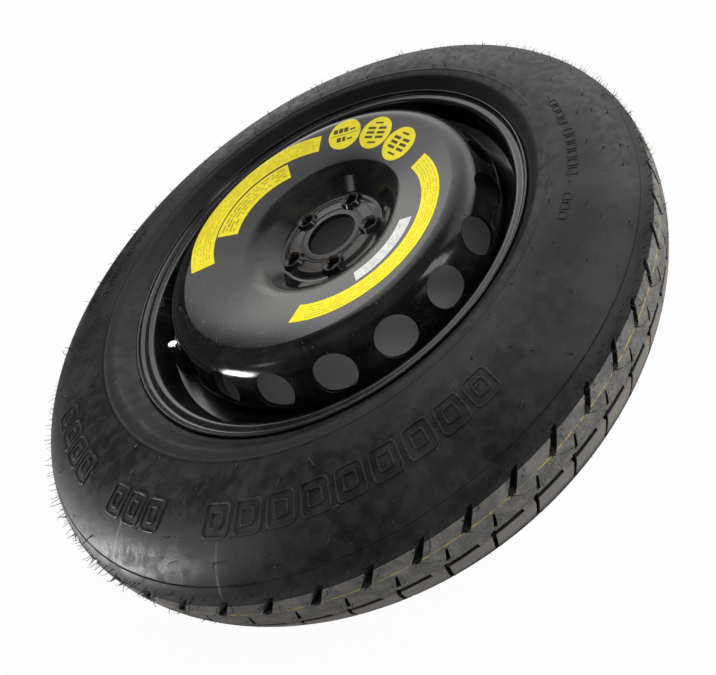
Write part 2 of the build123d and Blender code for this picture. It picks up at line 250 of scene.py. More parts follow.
# %% Hang the two lamps
def lamp(name, stands_at, azimuth, rise, reach, width, tall, glow, spread=180):
    """An area lamp that is seen from a point in a direction, at a distance, and shines back at it.

    A spread under 180 degrees keeps it to a beam; the glow is then that of the beam's middle.
    """
    a, e = radians(azimuth), radians(rise)
    away = Vector((cos(e) * cos(a), cos(e) * sin(a), sin(e)))
    bpy.ops.object.light_add(type="AREA", location=Vector(stands_at) + away * reach)
    light = bpy.context.object
    light.name = name
    light.rotation_euler = away.to_track_quat("Z", "Y").to_euler()
    light.data.shape = "RECTANGLE"
    light.data.size = width
    light.data.size_y = tall
    light.data.energy = glow * pi * width * tall
    if spread < 180:
        half = radians(spread / 2)
        light.data.spread = 2 * half
        light.data.energy *= (tan(half) - half) / tan(half)
    light.visible_camera = False
    print(name, "at", tuple(round(v, 3) for v in light.location), "watts", round(light.data.energy, 2))


lamp("window", (-0.155, -0.133, 0.072), 170, 11, 0.75, 0.26, 0.30, 88.0, spread=24)
lamp("strip", (0.061, -0.193, 0.074), -50, 38, 1.0, 0.22, 0.75, 7.4)

# %% [markdown]
# ## Floor
# A wide pale floor lies just under the tyre's lower sidewall. Most of what the eye sees of it is
# plain white, mixed in for camera, glossy and transmission rays only, so that no light is added to
# the wheel; the rest is a matt surface that keeps the soft shadow. Under the wheel, where only the
# vents let light through, it is all matt.

# %% Lay the floor
floor_half = 18.0
under_wheel = (0.30, 0.36)
floor_white = 0.97
floor_gloss = 0.35
floor_grey = 0.55
bpy.ops.mesh.primitive_plane_add(size=2 * floor_half, location=(0, 0, cad_box[0].z))
floor = bpy.context.object
floor.name = "floor"
pale = bpy.data.materials.new("pale_floor")
pale.use_nodes = True
tree = pale.node_tree
matt = tree.nodes["Principled BSDF"]
matt.inputs["Base Color"].default_value = (floor_grey, floor_grey, floor_grey, 1)
matt.inputs["Roughness"].default_value = 0.9
matt.inputs["Specular IOR Level"].default_value = 0.0
spot = add_node(tree, "TexCoord").outputs["Object"]
reach = vectors("LENGTH", spot)["Value"]
path = add_node(tree, "LightPath").outputs
mirrored = most(path["Is Glossy Ray"], path["Is Transmission Ray"])
seen = most(path["Is Camera Ray"], times(mirrored, floor_gloss))
share = times(seen, step_up(reach, *under_wheel), floor_white)
white = add_node(tree, "Emission", {"Color": (1, 1, 1, 1), "Strength": 1.0}).outputs[0]
mixed = add_node(tree, "MixShader", {0: share, 1: matt.outputs[0], 2: white}).outputs[0]
plug(tree.nodes["Material Output"].inputs["Surface"], mixed)
floor.data.materials.append(pale)
print("floor at", round(floor.location.z, 4))

# %% [markdown]
# ## Tyre section
# A tyre is one section turned round an axle. The outer line is a shallow crown arc with two grooves,
# a small step at the tread's edge, an elliptical shoulder, and an arc down to a ridge beside the
# rim; the inner line only closes the body. The points follow those arcs by formula, with more of
# them where the light shows the shape.

# %% Draw the tyre section
tyre_r = 391.0
half_w = 84.6
crown_drop, edge_z = 10.5, 50.5
side_r, shoulder_z = 304.7, 33.3
groove_low, groove_high = 9.0, 16.5
far_groove_low, far_groove_high = -25.5, -18.0
groove_depth, groove_draft = 8.0, 0.5
step_in, step_fade = 0.8, 9.0
ridge_r, ridge_z = 275.0, 79.0
ring_r, ring_w, ring_h = 284.2, 1.1, 0.25
mould_r, mould_depth, mould_w = 369.0, 0.7, 0.6
shoulder_steps = 30
crown_arc = (crown_drop**2 + edge_z**2) / (2 * crown_drop)
edge_r = tyre_r - crown_drop
shoulder_a = asin((edge_z - shoulder_z) / (half_w - shoulder_z))
shoulder_r = (edge_r - side_r) / cos(shoulder_a)
bead_arc = ((side_r - ridge_r) ** 2 + (half_w - ridge_z) ** 2) / (2 * (half_w - ridge_z))


def crown_at(z):
    """Radius of the tread at a height from the middle of the crown."""
    return tyre_r - crown_arc + sqrt(crown_arc**2 - z**2)


def side_at(r):
    """Height of the upper sidewall at a radius, from the ridge by the rim to the tread's edge."""
    if r < side_r:
        return half_w - bead_arc + sqrt(bead_arc**2 - (side_r - r) ** 2)
    return shoulder_z + (half_w - shoulder_z) * sqrt(1 - ((r - side_r) / shoulder_r) ** 2)


def groove(low, high):
    """Four corners of a groove, from its lower edge to its upper edge."""
    floor_low = (crown_at(low) - groove_depth, low + groove_draft)
    floor_high = (crown_at(high) - groove_depth, high - groove_draft)
    return [(crown_at(low), low), floor_low, floor_high, (crown_at(high), high)]


def shoulder_points():
    """The shoulder and sidewall, from the tread's edge to the ridge, with the mould line and ring."""
    swing = pi / 2 - shoulder_a
    turns = [shoulder_a + swing * i / shoulder_steps for i in range(shoulder_steps + 1)]
    radii = [side_r + shoulder_r * cos(a) for a in turns]
    radii = [r for r in radii if abs(r - mould_r) > 2 * mould_w] + [300, 295, 290, 287, 281, 278, 276]
    points = []
    for r in radii:
        z = side_at(r)
        points.append((r - step_in * max(0, 1 - (z - edge_z) / step_fade), z))
    for r, sink in ((mould_r + mould_w, 0), (mould_r, mould_depth), (mould_r - mould_w, 0)):
        points.append((r - sink * 0.6, side_at(r) - sink * 0.8))
    for out, lift in ((ring_w, 0), (ring_w / 2, ring_h), (-ring_w / 2, ring_h), (-ring_w, 0)):
        points.append((ring_r + out, side_at(ring_r + out) + lift))
    return sorted(points, key=lambda p: -p[0])


shoulder = shoulder_points()
bead_slope = [(275.0, 79.0), (273.4, 78.2), (271.0, 75.8), (266.0, 70.0), (263.4, 67.0), (262.0, 66.05)]
inner = [
    (256.9, 59.4), (252, 57.2), (246.5, 56.5), (244.6, 37), (247.4, 36.7), (274, 62), (290, 73.5),
    (304.7, 77.6), (330, 74.3), (352, 65), (368, 51), (376, 33),
]
upper = [(crown_at(z), z) for z in (0, 4.5)] + groove(groove_low, groove_high)
upper += [(crown_at(z), z) for z in (20, 25, 30, 35, 40, 44, 47.5, edge_z)]
lower = [(crown_at(z), z) for z in (-edge_z, -47.5, -44, -40, -35, -30)]
lower += groove(far_groove_low, far_groove_high) + [(crown_at(z), z) for z in (-12, -6)]
flank = shoulder + bead_slope + inner
section = upper + flank + [(377.5, 0)] + [(r, -z) for r, z in reversed(flank)] + lower
print("section points:", len(section))

# %% [markdown]
# ## Tread
# The tread repeats 59 times round the tyre. One pitch is modelled as a closed wedge: the section is
# filled and spun through a single pitch, a ramp is joined into the near groove, the slots are cut
# out with a boolean, the two end faces are removed, and the wedge is spun on as copies whose edges
# meet and merge. Cutting one wedge keeps the boolean small and every pitch alike.


# %% Mesh helpers
def pick(*pieces):
    """Select these pieces and nothing else, with the first one active."""
    bpy.ops.object.select_all(action="DESELECT")
    for piece in pieces:
        piece.select_set(True)
    bpy.context.view_layer.objects.active = pieces[0]


def open_mesh():
    """Go into edit mode with everything selected."""
    bpy.ops.object.mode_set(mode="EDIT")
    bpy.ops.mesh.select_all(action="SELECT")


def close_mesh(merge=0.0):
    """Merge corners that are nearer than merge, turn every face outward and leave edit mode."""
    bpy.ops.mesh.select_all(action="SELECT")
    if merge:
        bpy.ops.mesh.remove_doubles(threshold=merge * MM)
    bpy.ops.mesh.normals_make_consistent(inside=False)
    bpy.ops.object.mode_set(mode="OBJECT")


def spin(steps, turn, copies=False):
    """Carry the selection round the axle by a turn in degrees, as one surface or as copies."""
    axle = {"center": (0, 0, 0), "axis": (0, 0, -1)}
    bpy.ops.mesh.spin(steps=steps, angle=radians(turn), dupli=copies, **axle)


print("mesh helpers ready")

# %% Model one pitch of the tyre
pitches = 59
pitch = 360 / pitches
first_slot = -79.2
wedge_start = first_slot - 3.9
wedge_steps = 6
end_gap = 1e-3
tread_smooth, rim_smooth, spring_smooth = 32, 35, 50


def polar_point(angle, r, z):
    return Vector((r * cos(radians(angle)), r * sin(radians(angle)), z)) * MM


def section_ring(name, points, angle):
    """A closed loop of edges, one corner for each point of a section, standing at an angle."""
    bpy.ops.mesh.primitive_circle_add(vertices=len(points), radius=1)
    ring = bpy.context.object
    ring.name = name
    for vertex, (r, z) in zip(ring.data.vertices, points):
        vertex.co = polar_point(angle, r, z)
    return ring


tyre = section_ring("tyre_rubber", section, wedge_start)
open_mesh()
bpy.ops.mesh.edge_face_add()
spin(wedge_steps, pitch)
close_mesh()
print("wedge of", round(pitch, 3), "degrees, faces", len(tyre.data.polygons))

# %% Lay out the ramp and the slots
slot_top = 6.0
ramp_foot = 9.5
# Each shape: corners as (angle from the pitch's reference, height), and the depth at each corner
ramp = ([(-1.2, 8.3), (-2.7, 8.3), (-2.7, 17.2), (-1.2, 17.2)], [6.0, 0.3, 0.3, 6.0])
slots = [
    ([(0.04, 54.6), (-0.42, 54.6), (-2.4, 37.8), (-1.86, 37.8)], [2.5, 2.5, 7.5, 7.5]),
    ([(-0.3, 54.6), (-1.0, 54.6), (-3.2, 37.8), (-2.3, 37.8)], [2.0, 0.1, 0.1, 6.0]),
    ([(-1.7, 39.0), (-2.6, 38.5), (-3.0, 34.8), (-2.3, 35.2)], [2.5, 2.5, 0.05, 0.05]),
    ([(-2.57, 37.2), (-2.67, 36.6), (-1.6, 29.4), (-1.5, 30.0)], [3.0, 3.0, 4.0, 4.0]),
    ([(-1.48, 30.0), (-1.62, 29.4), (-0.1, 24.1), (0.0, 24.7)], [4.0, 4.0, 5.0, 5.0]),
    ([(0.3, 20.5), (-0.25, 20.5), (0.7, 35.0), (1.0, 35.0)], [6.5, 6.5, 2.0, 2.0]),
]
notch = ([(-0.3, 18.0), (-0.85, 18.0), (-2.3, -20.0), (-1.78, -20.0)], [6.5, 6.5, 6.5, 6.5])
mirror_shift = -1.2
print("slots in a pitch:", len(slots) * 2 + 1)


# %% Make the ramp and the slot cutters
def surface_r(z):
    """Radius of the tyre's outside at a height from the middle."""
    z = abs(z)
    if z <= edge_z:
        return crown_at(z)
    return side_r + shoulder_r * sqrt(1 - ((z - shoulder_z) / (half_w - shoulder_z)) ** 2)


def tread_block(corners, depths, foot=None):
    """A cube moved to a slot's corners: a cutter above the depths, or a solid from them to a foot."""
    bpy.ops.mesh.primitive_cube_add(size=1)
    block = bpy.context.object
    order = {(-0.5, -0.5): 0, (0.5, -0.5): 1, (0.5, 0.5): 2, (-0.5, 0.5): 3}
    for vertex in block.data.vertices:
        i = order[(vertex.co.x, vertex.co.y)]
        angle, z = corners[i]
        if foot is None:
            depth = -slot_top if vertex.co.z > 0 else depths[i]
        else:
            depth = depths[i] if vertex.co.z > 0 else foot
        vertex.co = polar_point(first_slot + angle, surface_r(z) - depth, z)
    return block


def joined(pieces):
    pick(*pieces)
    bpy.ops.object.join()
    open_mesh()
    close_mesh()
    return bpy.context.object


def boolean(piece, tool, operation):
    """Join or cut a piece with another, which is used up."""
    pick(piece)
    change = piece.modifiers.new("change", "BOOLEAN")
    change.operation = operation
    change.solver = "EXACT"
    change.use_self = True
    change.object = tool
    bpy.ops.object.modifier_apply(modifier=change.name)
    bpy.data.objects.remove(tool)


ramp_block = joined([tread_block(*ramp, foot=ramp_foot)])
cutters = [tread_block(*slot) for slot in slots + [notch]]
for corners, depths in slots:
    cutters.append(tread_block([(mirror_shift - a, -z) for a, z in corners], depths))
cutter = joined(cutters)
print("cutter faces:", len(cutter.data.polygons))

# %% Cut the slots and go round
boolean(tyre, ramp_block, "UNION")
boolean(tyre, cutter, "DIFFERENCE")


def on_end(face):
    """True if every corner of the face lies in one of the wedge's two end planes."""
    spots = [tyre.data.vertices[i].co for i in face.vertices]
    turns = [degrees(atan2(p.y, p.x)) - wedge_start for p in spots]
    return any(all(abs(t - end) < end_gap for t in turns) for end in (0, pitch))


ends = [face.index for face in tyre.data.polygons if on_end(face)]
bpy.ops.object.mode_set(mode="EDIT")
bpy.ops.mesh.select_all(action="DESELECT")
bpy.ops.object.mode_set(mode="OBJECT")
for i in ends:
    tyre.data.polygons[i].select = True
bpy.ops.object.mode_set(mode="EDIT")
bpy.ops.mesh.select_mode(type="FACE")
bpy.ops.mesh.delete(type="FACE")
bpy.ops.mesh.select_all(action="SELECT")
spin(pitches - 1, pitch * (pitches - 1), copies=True)
close_mesh(merge=0.02)
bpy.ops.object.shade_smooth_by_angle(angle=radians(tread_smooth))
print("end faces", len(ends), "tyre faces", len(tyre.data.polygons))


def loose_edges(piece):
    """How many edges are not shared by two faces: 0 on a closed body."""
    shared = {}
    for face in piece.data.polygons:
        for key in face.edge_keys:
            shared[key] = shared.get(key, 0) + 1
    return sum(1 for n in shared.values() if n != 2)


print("open edges:", loose_edges(tyre))
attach(tyre, "wheel")
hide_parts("tyre")

# %% [markdown]
# ## Rim
# The rim is one strip of sheet rolled into a hoop: lip, curl, bead seat and well, the same on both
# sides. Its path is drawn once with rounded corners, given the sheet's thickness and a rounded lip,
# and spun in fine steps, because a glossy lip shows every facet. The valve's hole is cut last.

# %% Draw the rim section
rim_t = 2.8
rim_half = [(259.0, 66.05 - rim_t / 2), (259.0, 57.15), (245.6, 57.15), (242.993, 27.35), (223.793, 18.88)]
half_bends = [8.0, 4.0, 5.0, 3.0]
bend_steps = 8
rim_path = rim_half + [(r, -z) for r, z in reversed(rim_half)]
rim_bends = half_bends + half_bends[::-1]


def bent_strip(corners, bends):
    """Points along a bent path, each with the direction that the path takes there."""
    corners = [Vector(c) for c in corners]
    runs = [(b - a).normalized() for a, b in zip(corners, corners[1:])]
    strip = [(corners[0], runs[0])]
    for corner, bend, come, go in zip(corners[1:], bends, runs, runs[1:]):
        swing = atan2(come.x * go.y - come.y * go.x, come.dot(go))
        side = Vector((-come.y, come.x)) * copysign(1, swing)
        start = corner - come * bend * tan(abs(swing) / 2)
        centre = start + side * bend
        for i in range(bend_steps + 1):
            part = Matrix.Rotation(swing * i / bend_steps, 2)
            strip.append((centre + part @ (start - centre), part @ come))
    strip.append((corners[-1], runs[-1]))
    return strip


strip = bent_strip(rim_path, rim_bends)
face_out = [tuple(p) for p, d in strip]
face_in = [(p.x + d.y * rim_t, p.y - d.x * rim_t) for p, d in strip]


def lip_end(a, b, up):
    """Rounded end of the sheet, from a to b, standing out along up."""
    middle, reach = (Vector(a) + Vector(b)) / 2, (Vector(b) - Vector(a)) / 2
    turns = [pi * i / 6 for i in range(1, 6)]
    return [tuple(middle - reach * cos(t) + Vector((0, up)) * reach.length * sin(t)) for t in turns]


rim_section = face_out + lip_end(face_out[-1], face_in[-1], -1)
rim_section += face_in[::-1] + lip_end(face_in[0], face_out[0], 1)
print("rim section points:", len(rim_section))

# %% Spin the rim and cut the valve hole
rim_steps = 240
valve_angle, valve_lean = 178.4, 23.8
valve_hole_r = 5.65
valve_foot = (232.94, 25.98)
rim = section_ring("rim_hoop", rim_section, 0)
open_mesh()
spin(rim_steps, 360)
close_mesh(merge=0.01)
around, lean = radians(valve_angle), radians(valve_lean)
valve_up = Vector((-sin(lean) * cos(around), -sin(lean) * sin(around), cos(lean)))
bpy.ops.mesh.primitive_cylinder_add(
    vertices=32,
    radius=valve_hole_r * MM,
    depth=6 * rim_t * MM,
    location=polar_point(valve_angle, *valve_foot),
    rotation=valve_up.to_track_quat("Z", "Y").to_euler(),
)
boolean(rim, bpy.context.object, "DIFFERENCE")
bpy.ops.object.shade_smooth_by_angle(angle=radians(rim_smooth))
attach(rim, "wheel")
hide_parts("rim")
print("rim faces", len(rim.data.polygons), "open edges", loose_edges(rim))

# %% [markdown]
# ## Moulded marks
# The sidewall carries rows of raised marks. Here they are plain hollow blocks, two outlines one inside
# the other for the large ones, a single outline for the small ones. An outline is easiest as a
# closed curve with a round bevel, which rides on the sidewall; the curves are turned into a mesh.

# %% Lay out the rows of marks
rib_r, small_rib_r = 0.95, 0.7125
rib_lift = 0.1
# Each row: first and last angle, count, low and high radius, share of each place that is filled
block_rows = [
    (-86.0, -131.6, 9, 316.5, 339.5, 0.80),
    (-139.0, -152.0, 3, 316.5, 339.5, 0.80),
    (-159.5, -179.0, 4, 316.5, 339.5, 0.80),
]
small_rows = [
    (-24.0, -33.5, 4, 303.5, 311.5, 0.7),
    (-35.0, -48.5, 6, 304.5, 314.5, 0.7),
    (-52.5, -59.0, 3, 303.0, 311.0, 0.7),
    (129.0, 134.0, 3, 326.0, 334.5, 0.7),
    (136.0, 153.5, 9, 327.5, 336.5, 0.7),
    (129.0, 150.5, 9, 304.0, 312.0, 0.6),
]
print("rows of marks:", len(block_rows), "large and", len(small_rows), "small")


# %% Draw the sidewall marks
def block_outline(start, end, low, high, inset, corner):
    """Points of a rounded rectangle that lies on the sidewall between two angles and two radii."""
    mid_r = (low + high) / 2
    half_s = abs(radians(end - start)) / 2 * mid_r - inset
    half_r = (high - low) / 2 - inset
    flat = []
    for sx, sy, first in ((1, 1, 0), (-1, 1, 90), (-1, -1, 180), (1, -1, 270)):
        for i in range(4):
            a = radians(first + 30 * i)
            s = sx * (half_s - corner) + corner * cos(a)
            flat.append(Vector((s, sy * (half_r - corner) + corner * sin(a))))
    points = []
    for here, there in zip(flat, flat[1:] + flat[:1]):
        parts = max(1, ceil((there - here).length / 3))
        for i in range(parts):
            s, r = here.lerp(there, i / parts)
            around = (start + end) / 2 + degrees(s / mid_r)
            points.append(polar_point(around, mid_r + r, side_at(mid_r + r) + rib_lift))
    return points


def rib_curve(name, outlines, radius):
    """Closed round ribs along the outlines, as one mesh."""
    curve = bpy.data.curves.new(name, "CURVE")
    curve.dimensions = "3D"
    curve.bevel_depth = radius * MM
    curve.bevel_resolution = 1
    for points in outlines:
        spline = curve.splines.new("POLY")
        spline.points.add(len(points) - 1)
        for point, spot in zip(spline.points, points):
            point.co = (*spot, 1)
        spline.use_cyclic_u = True
    ribs = bpy.data.objects.new(name, curve)
    bpy.context.collection.objects.link(ribs)
    pick(ribs)
    bpy.ops.object.convert(target="MESH")
    bpy.ops.object.shade_smooth()
    return bpy.context.object


def row_places(first, last, count, fill):
    """Start and end angle of each block of a row."""
    width = (last - first) / count
    spare = width * (1 - fill) / 2
    return [(first + width * i + spare, first + width * (i + 1) - spare) for i in range(count)]


def row_outlines(rows, shapes):
    """Outlines of every block of some rows, each block with its insets and corner radii."""
    return [
        block_outline(start, end, low, high, *shape)
        for first, last, count, low, high, fill in rows
        for start, end in row_places(first, last, count, fill)
        for shape in shapes
    ]


marks = rib_curve("sidewall_blocks", row_outlines(block_rows, [(0, 4.0), (6.0, 2.0)]), rib_r)
small_marks = rib_curve("sidewall_dashes", row_outlines(small_rows, [(0, 1.2)]), small_rib_r)
for piece in (marks, small_marks):
    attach(piece, "wheel")
    print(piece.name, "faces", len(piece.data.polygons))

# %% [markdown]
# ## Mould hairs
# New tyres are hairy: rubber that ran into the mould's vent holes stands up as thin whiskers along
# the shoulder. Two hairs and a thicker nub are modelled by extruding a small ring step by step, each
# step narrower and leaning a little; copies are then placed by pitch, with a seeded shuffle.

# %% Model the mould hairs
STRAIGHT, BENT, NUB = range(3)
# Each hair of a pitch: angle from the pitch's reference, height, length, and the model that is used
hair_spots = [
    (-3.6, 56.0, 6.5, STRAIGHT), (-2.6, 58.0, 6.5, STRAIGHT), (-1.6, 58.5, 6.5, BENT),
    (-0.6, 57.0, 6.5, STRAIGHT), (0.4, 55.5, 6.5, BENT), (1.4, 57.0, 6.5, STRAIGHT),
    (0.5, 52.0, 4.5, NUB), (0.2, 49.0, 4.0, NUB), (-0.2, 45.5, 4.0, NUB), (-1.2, 53.0, 4.0, NUB),
    (-1.8, 49.0, 4.0, NUB), (-2.4, 45.0, 4.0, NUB), (-0.4, 26.0, 3.5, NUB), (0.9, 24.0, 3.5, NUB),
]
far_hairs = 2
nub_radii = [362, 355, 340, 325, 307, 290]
nub_step = 8.0
nub_length = 5.0
hair_taper, hair_loose = 0.82, 0.35
hairs_missing, nubs_missing = 0.12, 0.35
hair_root, nub_root = 0.3, 0.2
hair_jitter, nub_jitter = 0.25, 2


def whisker(name, thick, leans):
    bpy.ops.mesh.primitive_circle_add(vertices=5, radius=thick, fill_type="NGON")
    hair = bpy.context.object
    hair.name = name
    open_mesh()
    for lean in leans:
        move = {"value": (lean, 0, 1 / len(leans))}
        bpy.ops.mesh.extrude_region_move(TRANSFORM_OT_translate=move)
        bpy.ops.transform.resize(value=(hair_taper, hair_taper, 1))
    close_mesh()
    return hair


whiskers = [
    whisker("hair_straight", 0.06, [0.0, 0.02, 0.03, 0.05]),
    whisker("hair_bent", 0.06, [0.02, 0.06, 0.14, 0.26]),
    whisker("nub", 0.13, [0.05, 0.15, 0.35, 0.5]),
]
print("hair models:", ", ".join(model.name for model in whiskers))


# %% Place the mould hairs
def place_hair(kind, spot, up, length):
    hair = whiskers[kind].copy()
    hair.data = whiskers[kind].data.copy()
    bpy.context.collection.objects.link(hair)
    loose = Vector([random.uniform(-1, 1) for _ in range(3)]) * hair_loose
    stand = (up + loose).normalized().to_track_quat("Z", "X").to_matrix().to_4x4()
    roll = Matrix.Rotation(random.uniform(0, 2 * pi), 4, "Z")
    size = Matrix.Scale(length * random.uniform(0.6, 1.15) * MM, 4)
    hair.matrix_world = Matrix.Translation(spot) @ stand @ roll @ size
    return hair


def turned_up(angle, across, along):
    """Direction that leans outward by across and upward by along, at an angle round the wheel."""
    a = radians(angle)
    return Vector((across * cos(a), across * sin(a), along)).normalized()


hairs = []
for i in range(pitches):
    for side in (1, -1):
        for turn, z, length, kind in hair_spots if side > 0 else hair_spots[:far_hairs]:
            if random.random() < hairs_missing:
                continue
            angle = first_slot + i * pitch + (turn if side > 0 else mirror_shift - turn)
            angle += random.uniform(-hair_jitter, hair_jitter)
            fall = (surface_r(z - 0.5) - surface_r(z + 0.5)) * side
            spot = polar_point(angle, surface_r(z) - hair_root, side * z)
            hairs.append(place_hair(kind, spot, turned_up(angle, 1, fall), length))
for i in range(round(360 / nub_step)):
    for r in nub_radii:
        if random.random() < nubs_missing:
            continue
        angle = i * nub_step + random.uniform(-nub_jitter, nub_jitter)
        rise = side_at(r - 0.5) - side_at(r + 0.5)
        spot = polar_point(angle, r, side_at(r) - nub_root)
        hairs.append(place_hair(NUB, spot, turned_up(angle, rise, 1), nub_length))
for model in whiskers:
    bpy.data.objects.remove(model)
print("hairs:", len(hairs))
mould_hairs = joined(hairs)
mould_hairs.name = "mould_hairs"
bpy.ops.object.transform_apply()
bpy.ops.object.shade_smooth()
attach(mould_hairs, "wheel")
print("hair faces", len(mould_hairs.data.polygons))

# %% [markdown]
# ## Valve spring
# Inside the valve core a small spring holds the pin shut. It is a ring of wire carried along a screw
# line, round the valve's own axis. Pressing the pin shortens it.

# %% Wind the valve spring
coil_r, coil_turns, coil_steps, coil_rise = 0.85, 5, 28, 8.2
wire_r, wire_sides = 0.15, 8
joint = next(j for j in frame["record"]["behaviour"]["joints"] if j["name"] == "pin_press")
valve_up = -Vector(joint["axis"])
low, high = (Vector(c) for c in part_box("core_spring"))
middle = (low + high) / 2
bpy.ops.mesh.primitive_circle_add(
    vertices=wire_sides, radius=wire_r, location=(coil_r, 0, 0), rotation=(pi / 2, 0, 0)
)
spring = bpy.context.object
spring.name = "valve_spring"
bpy.ops.object.transform_apply()
wind = spring.modifiers.new("wind", "SCREW")
wind.angle = 2 * pi
wind.screw_offset = coil_rise / coil_turns
wind.iterations = coil_turns
wind.steps = coil_steps
bpy.ops.object.modifier_apply(modifier=wind.name)
open_mesh()
bpy.ops.mesh.fill_holes(sides=0)
close_mesh()
foot = middle - valve_up * (coil_rise / 2) * MM
stand = valve_up.to_track_quat("Z", "X").to_matrix().to_4x4()
spring.matrix_world = Matrix.Translation(foot) @ stand @ Matrix.Scale(MM, 4)
bpy.ops.object.transform_apply()
bpy.ops.object.shade_smooth_by_angle(angle=radians(spring_smooth))
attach(spring, "wheel")
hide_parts("core_spring")
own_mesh(spring)
print("spring faces", len(spring.data.polygons), "open edges", loose_edges(spring))

# %% [markdown]
# ## Shared effects
# Real surfaces are never one colour: paint collects dust and fine scuffs, rubber is mottled, print
# has rows. Each such effect is a node group with named inputs, built once and placed in every
# material that needs it. All of them work in millimetres, taken from Object coordinates, so a
# pattern keeps its real size on every piece.

# %% Group helpers and wheel coordinates
vector_labels = ("Vector", "Spot", "Rings")
ring_scale = 60.0


def new_group(name, inputs, outputs, build):
    """A node group with named sockets; what build makes of its inputs goes to its outputs in turn."""
    group = bpy.data.node_groups.new(name, "ShaderNodeTree")
    for labels, side in ((inputs, "INPUT"), (outputs, "OUTPUT")):
        for label in labels.split():
            kind = "NodeSocketVector" if label in vector_labels else "NodeSocketFloat"
            group.interface.new_socket(label, in_out=side, socket_type=kind)
    come = group.nodes.new("NodeGroupInput").outputs
    leave = group.nodes.new("NodeGroupOutput").inputs
    made = build(group, *(come[label] for label in inputs.split()))
    for label, value in zip(outputs.split(), made):
        plug(leave[label], value)
    print("group:", name)
    return group


def place(group, tree=None, **inputs):
    """Put a group into a tree with its own values, and give back its outputs."""
    return add_node(tree or home(*inputs.values()), "Group", inputs, node_tree=group).outputs


def effect(group, spot, **inputs):
    """The one output of a group that works on a vector."""
    return place(group, Vector=spot, **inputs)[0]


def wheel_coordinates(group):
    metres = add_node(group, "TexCoord").outputs["Object"]
    scaled = {0: metres, "Scale": 1 / MM}
    spot = add_node(group, "VectorMath", scaled, operation="SCALE").outputs[0]
    x, y, z = split(spot)
    around, radius = maths("ARCTAN2", y, x), distance(x, y)
    cosine = times(maths("COSINE", around), ring_scale)
    sine = times(maths("SINE", around), ring_scale)
    rings = add_node(group, "CombineXYZ", {0: cosine, 1: sine, 2: radius}).outputs[0]
    return times(around, 180 / pi), radius, z, spot, rings


wheel_group = new_group("wheel_coordinates", "", "Angle Radius Height Spot Rings", wheel_coordinates)


# %% Mottle, specks, scuffs and grain
def noise(vector, scale, detail=4.0, rough=0.55):
    inputs = {"Vector": vector, "Scale": scale, "Detail": detail, "Roughness": rough}
    return add_node(home(vector), "TexNoise", inputs).outputs[0]


def cells(vector, scale):
    inputs = {"Vector": vector, "Scale": scale}
    return add_node(home(vector), "TexVoronoi", inputs).outputs


def mottle_parts(group, vector, scale, low, high):
    return [step_up(noise(vector, scale, 6.0, 0.6), low, high)]


def speck_parts(group, vector, scale, size, share):
    cell = cells(vector, scale)
    chance = add_node(group, "SeparateColor", {0: cell["Color"]}).outputs
    size = times(size, plus(chance[1], 0.25))
    dot = step_up(cell["Distance"], size, times(size, 0.5))
    return [times(dot, maths("LESS_THAN", chance[0], share))]


def scuff_parts(group, vector, scale, width):
    line = maths("ABSOLUTE", minus(noise(vector, scale, 2.0), 0.5))
    patch = step_up(noise(vector, times(scale, 0.4), 2.0), 0.52, 0.66)
    return [times(step_up(line, width, 0.0), patch)]


def grain_parts(group, vector, scale):
    fine = noise(vector, scale, 3.0, 0.6)
    return [maths("MULTIPLY_ADD", cells(vector, scale)["Distance"], 0.5, times(fine, 0.5))]


mottle = new_group("mottle", "Vector Scale Low High", "Mask", mottle_parts)
specks = new_group("specks", "Vector Scale Size Share", "Mask", speck_parts)
scuffs = new_group("scuffs", "Vector Scale Width", "Mask", scuff_parts)
grain = new_group("grain", "Vector Scale", "Height", grain_parts)


# %% Paint skin
def paint_parts(group, spot, rings):
    """Dust and scuffs that lie on gloss paint, and the faint ripple of the sprayed coat."""
    film = effect(mottle, spot, Scale=0.02, Low=0.42, High=0.75)
    dots = effect(specks, spot, Scale=0.16, Size=0.11, Share=0.30)
    bits = effect(specks, spot, Scale=0.5, Size=0.16, Share=0.16)
    lines = effect(scuffs, spot, Scale=0.035, Width=0.0035)
    turned = effect(scuffs, rings, Scale=0.06, Width=0.006)
    dust = most(most(dots, bits), times(film, 0.16))
    return dust, most(lines, turned), noise(spot, 0.35, 2.0, 0.4)


paint_skin = new_group("paint_skin", "Spot Rings", "Dust Scuff Peel", paint_parts)

# %% [markdown]
# ## Materials
# A material here is one Principled shader. Whatever varies over the surface comes from the groups and
# goes to Base Color, Roughness and the height of a Bump node; whatever is the same all over is set on
# the shader itself.


# %% Material helpers
def new_material(name, specular=0.5, metal=0.0):
    """A material, its shader, and the wheel's coordinates placed in it."""
    material = bpy.data.materials.new(name)
    material.use_nodes = True
    shader = material.node_tree.nodes["Principled BSDF"]
    shader.inputs["Specular IOR Level"].default_value = specular
    shader.inputs["Metallic"].default_value = metal
    return material, shader, place(wheel_group, material.node_tree)


def dress(shader, colour, rough, height, depth, normal=None):
    """Plug a colour, a roughness and a bump of the given depth in millimetres into a shader."""
    inputs = {"Height": height, "Strength": 1.0, "Distance": depth * MM}
    if normal is not None:
        inputs["Normal"] = normal
    bump = add_node(shader.id_data, "Bump", inputs).outputs[0]
    for name, value in (("Base Color", colour), ("Roughness", rough), ("Normal", bump)):
        plug(shader.inputs[name], value)


def vary(mask, low, high):
    """A value that goes from low to high with a mask."""
    return maths("MULTIPLY_ADD", mask, high - low, low)


def wear(node, material):
    """Give a CAD node its material."""
    nodes[node].data.materials.clear()
    nodes[node].data.materials.append(material)


print("material helpers ready")
